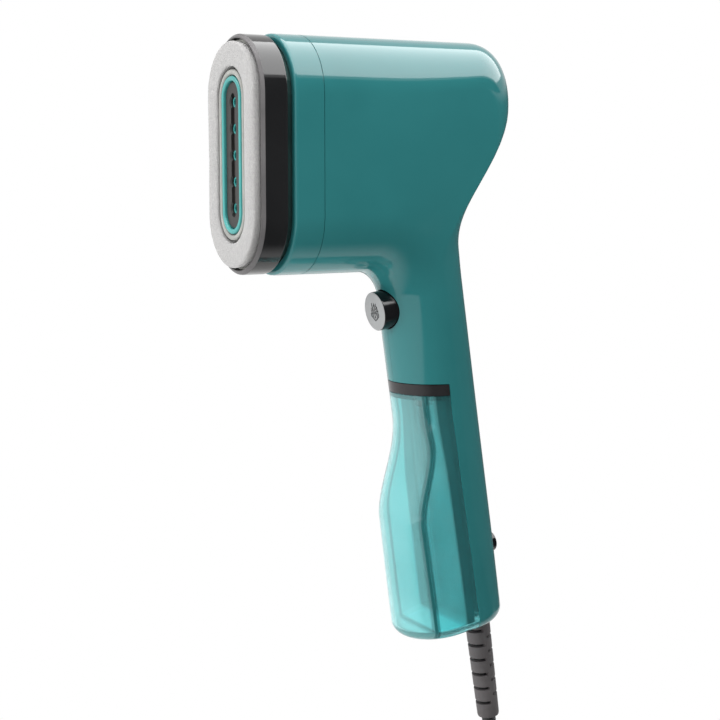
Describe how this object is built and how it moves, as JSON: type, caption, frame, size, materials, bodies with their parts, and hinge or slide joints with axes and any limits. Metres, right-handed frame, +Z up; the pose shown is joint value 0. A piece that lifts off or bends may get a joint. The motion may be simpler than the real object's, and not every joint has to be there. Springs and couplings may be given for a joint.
{
  "type": "garment steamer",
  "caption": "Handheld garment steamer: rounded teal head with a padded steam face, leaning handle with a steam trigger, slide-out water tank and mains lead.",
  "frame": {"origin": "middle of the hand grip, on the handle's axis and on the mid-plane", "axes": "+Z up, -Y the way the steam face looks, X across with the mid-plane at X = 0; the handle leans 8.5 degrees, its foot towards +Y"},
  "size_m": [0.0576, 0.1421, 0.5607],
  "materials": {
    "housing_teal": "smooth glossy teal ABS",
    "nozzle_teal": "light teal heat-resistant moulding",
    "black_gloss": "polished black moulding",
    "heat_black": "glass-filled black nylon or PPS, fine grain",
    "plate_grey": "dark grey satin strip",
    "band_black": "satin black lid, ultrasonically welded",
    "pad_edge": "dark grey edging and backing plate",
    "pad_cloth": "light grey microfibre pile",
    "cast_aluminium": "die-cast, shot-blasted",
    "element_steel": "drawn steel",
    "silicone": "milky silicone",
    "fitting_brass": "turned brass",
    "coil_copper": "enamelled copper winding under clear tape",
    "board_green": "solder-masked glass-epoxy board",
    "trigger_grey": "black moulding with a satin grey face",
    "tank_clear": "transparent teal polycarbonate, polished",
    "seal_rubber": "moulded silicone, matt",
    "relief_rubber": "soft PVC, fine grain",
    "cord_black": "PVC sheath, satin",
    "pin_nickel": "nickel-plated brass pins",
    "screw_steel": "zinc-plated self-tapping screw"
  },
  "bodies": {
    "housing": {"right_housing": "housing_teal", "left_housing": "housing_teal", "front_collar": "housing_teal", "nozzle_ring": "nozzle_teal", "head_bezel": "black_gloss", "head_frame": "heat_black", "steam_plate": "plate_grey", "chamber_cover": "cast_aluminium", "steam_chamber": "cast_aluminium", "heating_element": "element_steel", "chamber_gasket": "silicone", "inlet_hose": "silicone", "outlet_hose": "silicone", "thermostat": "heat_black", "thermal_fuse": "element_steel", "chamber_inlet": "fitting_brass", "pump_body": "heat_black", "pump_coil": "coil_copper", "pump_bracket": "element_steel", "control_board": "board_green", "capacitor": "heat_black", "relay": "heat_black", "trigger_spring": "element_steel", "micro_switch": "heat_black", "power_switch": "heat_black", "tank_socket": "heat_black", "seal_ring": "seal_rubber", "inner_lead": "cord_black", "strain_relief": "relief_rubber", "mains_wires": "cord_black", "cord_clamp": "heat_black", "power_cord": "cord_black", "cord_hank": "cord_black", "cord_tie": "relief_rubber", "mains_plug": "relief_rubber", "cord_tail": "cord_black", "plug_pin_left": "pin_nickel", "plug_pin_right": "pin_nickel", "housing_screw_crown": "screw_steel", "housing_screw_chin": "screw_steel", "housing_screw_brow": "screw_steel", "housing_screw_grip": "screw_steel", "housing_screw_spine": "screw_steel", "bezel_screw_upper": "screw_steel", "bezel_screw_lower": "screw_steel", "clamp_screw": "screw_steel"},
    "trigger": {"trigger_button": "trigger_grey"},
    "power": {"power_button": "black_gloss"},
    "tank": {"tank_lid": "band_black", "tank_front_shell": "tank_clear", "tank_rear_shell": "tank_clear", "tank_valve": "seal_rubber", "suction_tube": "silicone"},
    "filler": {"filler_plug": "seal_rubber"},
    "bonnet": {"fabric_pad": "pad_cloth", "pad_frame": "pad_edge"}
  },
  "joints": [
    {"name": "trigger_press", "type": "slide", "parent": "housing", "child": "trigger", "axis": [0, 0.989, 0.1478], "range_m": [0, 0.0025], "stiffness_N_per_m": 600, "springref_m": -0.002, "deforming": ["trigger_spring"]},
    {"name": "power_press", "type": "slide", "parent": "housing", "child": "power", "axis": [0, -0.989, -0.1478], "range_m": [0, 0.001], "stiffness_N_per_m": 800, "springref_m": -0.001},
    {"name": "tank_slide", "type": "slide", "parent": "housing", "child": "tank", "axis": [0, 0.1478, -0.989], "range_m": [0, 0.045]},
    {"name": "filler_pull", "type": "slide", "parent": "tank", "child": "filler", "axis": [0, -0.1478, 0.989], "range_m": [0, 0.005]},
    {"name": "bonnet_pull", "type": "slide", "parent": "housing", "child": "bonnet", "axis": [0, -1, 0], "range_m": [0, 0.012]}
  ]
}
